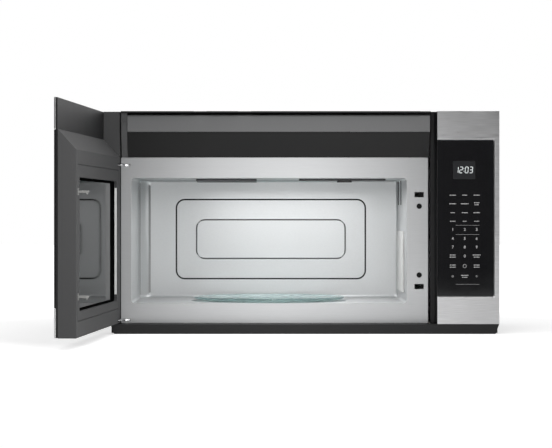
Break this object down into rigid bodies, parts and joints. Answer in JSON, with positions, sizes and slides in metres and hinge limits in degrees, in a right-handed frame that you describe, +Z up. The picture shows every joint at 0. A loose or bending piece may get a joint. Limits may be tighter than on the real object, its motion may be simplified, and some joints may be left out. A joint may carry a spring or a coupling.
{
  "type": "over the range microwave",
  "caption": "Over the range microwave with a side-hinged door standing open, turntable, glass control panel, top air outlet and underside grease filters.",
  "frame": {"origin": "centre of the base, at mid width and mid depth of the cabinet behind its front plate", "axes": "+X to the right seen from the front, -Y out of the front, +Z up"},
  "size_m": [0.818, 0.986, 0.435],
  "materials": {
    "black_steel": "satin black powder coat",
    "silver_steel": "satin silver",
    "cavity_steel": "satin pressed steel",
    "brushed_steel": "brushed along X",
    "zinc_steel": "bright zinc",
    "black_plastic": "fine grain",
    "grey_plastic": "satin",
    "door_plastic": "satin",
    "black_glass": "polished black glass",
    "clear_glass": "polished",
    "lamp_lens": "frosted",
    "copper_wire": "varnished",
    "circuit_board": "lacquered",
    "pale_plastic": "satin",
    "carbon": "granular",
    "mica": "layered sheet",
    "rubber": "matt"
  },
  "bodies": {
    "cabinet": {"outer_wrap": "black_steel", "base_pan": "black_steel", "back_panel": "zinc_steel", "front_frame": "silver_steel", "door_bumper_1": "rubber", "door_bumper_2": "rubber", "cord_grommet": "rubber", "cavity_liner": "cavity_steel", "waveguide_cover": "mica", "ceiling_cover_left": "mica", "ceiling_cover_right": "mica", "grille_head": "grey_plastic", "grille_apron": "black_plastic", "grille_end_post": "grey_plastic", "charcoal_filter": "carbon", "control_housing": "black_plastic", "control_trim": "brushed_steel", "control_glass": "black_glass", "display_lens": "black_glass", "control_board": "circuit_board", "upper_hinge": "zinc_steel", "lower_hinge": "zinc_steel", "turntable_motor": "zinc_steel", "waveguide": "zinc_steel", "magnetron": "zinc_steel", "fan_shroud": "zinc_steel", "fan_motor": "black_steel", "transformer": "copper_wire", "capacitor": "zinc_steel", "diode": "black_plastic", "noise_filter": "circuit_board", "latch_board": "pale_plastic", "door_switch_upper": "black_plastic", "door_switch_lower": "black_plastic", "cavity_lamp": "lamp_lens", "thermal_cutout": "pale_plastic", "cooktop_lamp_left": "lamp_lens", "cooktop_lamp_right": "lamp_lens", "blower_housing": "zinc_steel", "blower_motor": "black_steel"},
    "door": {"door_body": "door_plastic", "door_backing": "black_steel", "door_glass": "black_glass", "door_top_band": "brushed_steel", "door_bottom_band": "brushed_steel", "door_pane": "black_glass", "door_screen": "zinc_steel", "window_edge_strip": "pale_plastic", "latch_spring": "zinc_steel"},
    "latch": {"latch_bar": "pale_plastic"},
    "coupler": {"turntable_coupler": "pale_plastic"},
    "tray": {"glass_tray": "clear_glass"},
    "ring": {"roller_ring": "pale_plastic"},
    "wheel_1": {"roller_1": "pale_plastic"},
    "wheel_2": {"roller_2": "pale_plastic"},
    "wheel_3": {"roller_3": "pale_plastic"},
    "fan": {"fan_blade": "pale_plastic"},
    "blower": {"blower_wheels": "zinc_steel"},
    "filter_left": {"grease_filter_left": "zinc_steel"},
    "filter_right": {"grease_filter_right": "zinc_steel"}
  },
  "joints": [
    {"name": "door_hinge", "type": "hinge", "parent": "cabinet", "child": "door", "pos_m": [-0.372, -0.19, 0.2275], "axis": [0, 0, 1], "range_deg": [-11.5, 93.5]},
    {"name": "latch_lift", "type": "slide", "parent": "door", "child": "latch", "axis": [0, 0, 1], "range_m": [0, 0.0026], "stiffness_N_per_m": 250, "springref_m": -0.008, "deforming": ["latch_spring"]},
    {"name": "turntable_spin", "type": "hinge", "parent": "cabinet", "child": "coupler", "pos_m": [-0.06975, -0.0085, 0.05], "axis": [0, 0, 1], "continuous": true},
    {"name": "tray_lift", "type": "slide", "parent": "coupler", "child": "tray", "axis": [0, 0, 1], "range_m": [0, 0.015]},
    {"name": "ring_spin", "type": "hinge", "parent": "cabinet", "child": "ring", "pos_m": [-0.06975, -0.0085, 0.0508], "axis": [0, 0, 1], "continuous": true},
    {"name": "wheel_1_roll", "type": "hinge", "parent": "ring", "child": "wheel_1", "pos_m": [0.04725, -0.0085, 0.0508], "axis": [1, 0, 0], "continuous": true},
    {"name": "wheel_2_roll", "type": "hinge", "parent": "ring", "child": "wheel_2", "pos_m": [-0.12825, 0.09283, 0.0508], "axis": [-0.5, 0.866, 0], "continuous": true},
    {"name": "wheel_3_roll", "type": "hinge", "parent": "ring", "child": "wheel_3", "pos_m": [-0.12825, -0.10983, 0.0508], "axis": [-0.5, -0.866, 0], "continuous": true},
    {"name": "fan_spin", "type": "hinge", "parent": "cabinet", "child": "fan", "pos_m": [0.3, 0.1412, 0.15], "axis": [0, 1, 0], "continuous": true},
    {"name": "blower_spin", "type": "hinge", "parent": "cabinet", "child": "blower", "pos_m": [-0.06, 0.095, 0.3621], "axis": [1, 0, 0], "continuous": true},
    {"name": "filter_left_slide", "type": "slide", "parent": "cabinet", "child": "filter_left", "axis": [-1, 0, 0], "range_m": [0, 0.012]},
    {"name": "filter_right_slide", "type": "slide", "parent": "cabinet", "child": "filter_right", "axis": [1, 0, 0], "range_m": [0, 0.012]}
  ],
  "couplings": [
    {"joint": "ring_spin", "follows": "turntable_spin", "ratio": 0.5},
    {"joint": "wheel_1_roll", "follows": "turntable_spin", "ratio": -9.75},
    {"joint": "wheel_2_roll", "follows": "turntable_spin", "ratio": -9.75},
    {"joint": "wheel_3_roll", "follows": "turntable_spin", "ratio": -9.75}
  ]
}
